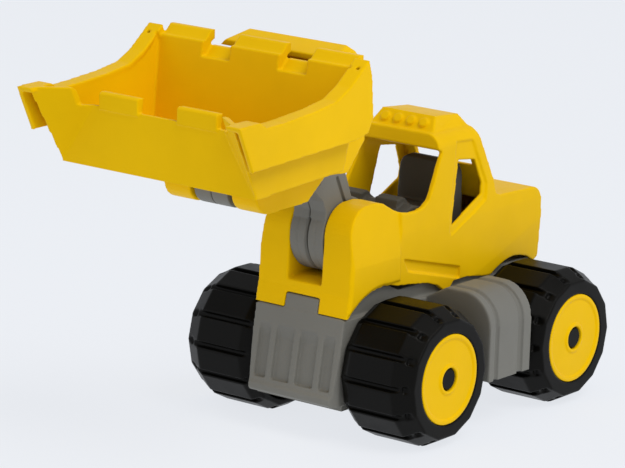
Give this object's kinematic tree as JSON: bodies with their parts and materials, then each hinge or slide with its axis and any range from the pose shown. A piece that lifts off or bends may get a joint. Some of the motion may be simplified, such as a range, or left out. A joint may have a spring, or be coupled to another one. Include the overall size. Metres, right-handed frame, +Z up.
{
  "type": "toy front loader",
  "caption": "Chunky plastic toy wheel loader with a cab, a hinged lifting arm, a tipping toothed bucket and wide lugged wheels.",
  "frame": {"origin": "centre of the footprint, on the ground under the wheels", "axes": "+X the driver's left, +Y the rear, +Z up; the bucket is at -Y"},
  "size_m": [0.1244, 0.2724, 0.178],
  "materials": {
    "yellow_plastic": "satin moulded yellow plastic, coloured through",
    "grey_plastic": "fine matt moulded warm grey plastic",
    "dark_plastic": "matt moulded dark grey plastic",
    "black_plastic": "matt black moulded plastic",
    "steel": "bright drawn steel"
  },
  "bodies": {
    "machine": {"chassis": "grey_plastic", "base_plate": "grey_plastic", "body_shell": "yellow_plastic", "cab_insert": "dark_plastic", "axle_front": "steel", "axle_rear": "steel", "axle_cap_fl": "black_plastic", "axle_cap_fr": "black_plastic", "axle_cap_rl": "black_plastic", "axle_cap_rr": "black_plastic", "arm_pin": "steel", "shell_screws": "steel", "base_screws": "steel"},
    "wheel_fl": {"tyre_fl": "black_plastic", "hub_disc_fl": "yellow_plastic"},
    "wheel_fr": {"tyre_fr": "black_plastic", "hub_disc_fr": "yellow_plastic"},
    "wheel_rl": {"tyre_rl": "black_plastic", "hub_disc_rl": "yellow_plastic"},
    "wheel_rr": {"tyre_rr": "black_plastic", "hub_disc_rr": "yellow_plastic"},
    "arm": {"arm_half_left": "grey_plastic", "arm_half_right": "grey_plastic", "arm_screws": "steel"},
    "bucket": {"bucket": "yellow_plastic", "bucket_bracket": "yellow_plastic", "bucket_pin": "steel"}
  },
  "joints": [
    {"name": "wheel_fl_spin", "type": "hinge", "parent": "machine", "child": "wheel_fl", "pos_m": [0.045, 0.009, 0.0305], "axis": [1, 0, 0], "continuous": true},
    {"name": "wheel_fr_spin", "type": "hinge", "parent": "machine", "child": "wheel_fr", "pos_m": [-0.045, 0.009, 0.0305], "axis": [1, 0, 0], "continuous": true},
    {"name": "wheel_rl_spin", "type": "hinge", "parent": "machine", "child": "wheel_rl", "pos_m": [0.045, 0.105, 0.0305], "axis": [1, 0, 0], "continuous": true},
    {"name": "wheel_rr_spin", "type": "hinge", "parent": "machine", "child": "wheel_rr", "pos_m": [-0.045, 0.105, 0.0305], "axis": [1, 0, 0], "continuous": true},
    {"name": "arm_lift", "type": "hinge", "parent": "machine", "child": "arm", "pos_m": [0, 0.002, 0.0865], "axis": [1, 0, 0], "range_deg": [-6, 56]},
    {"name": "bucket_tip", "type": "hinge", "parent": "arm", "child": "bucket", "pos_m": [0, -0.073, 0.119], "axis": [1, 0, 0], "range_deg": [0, 95]}
  ]
}
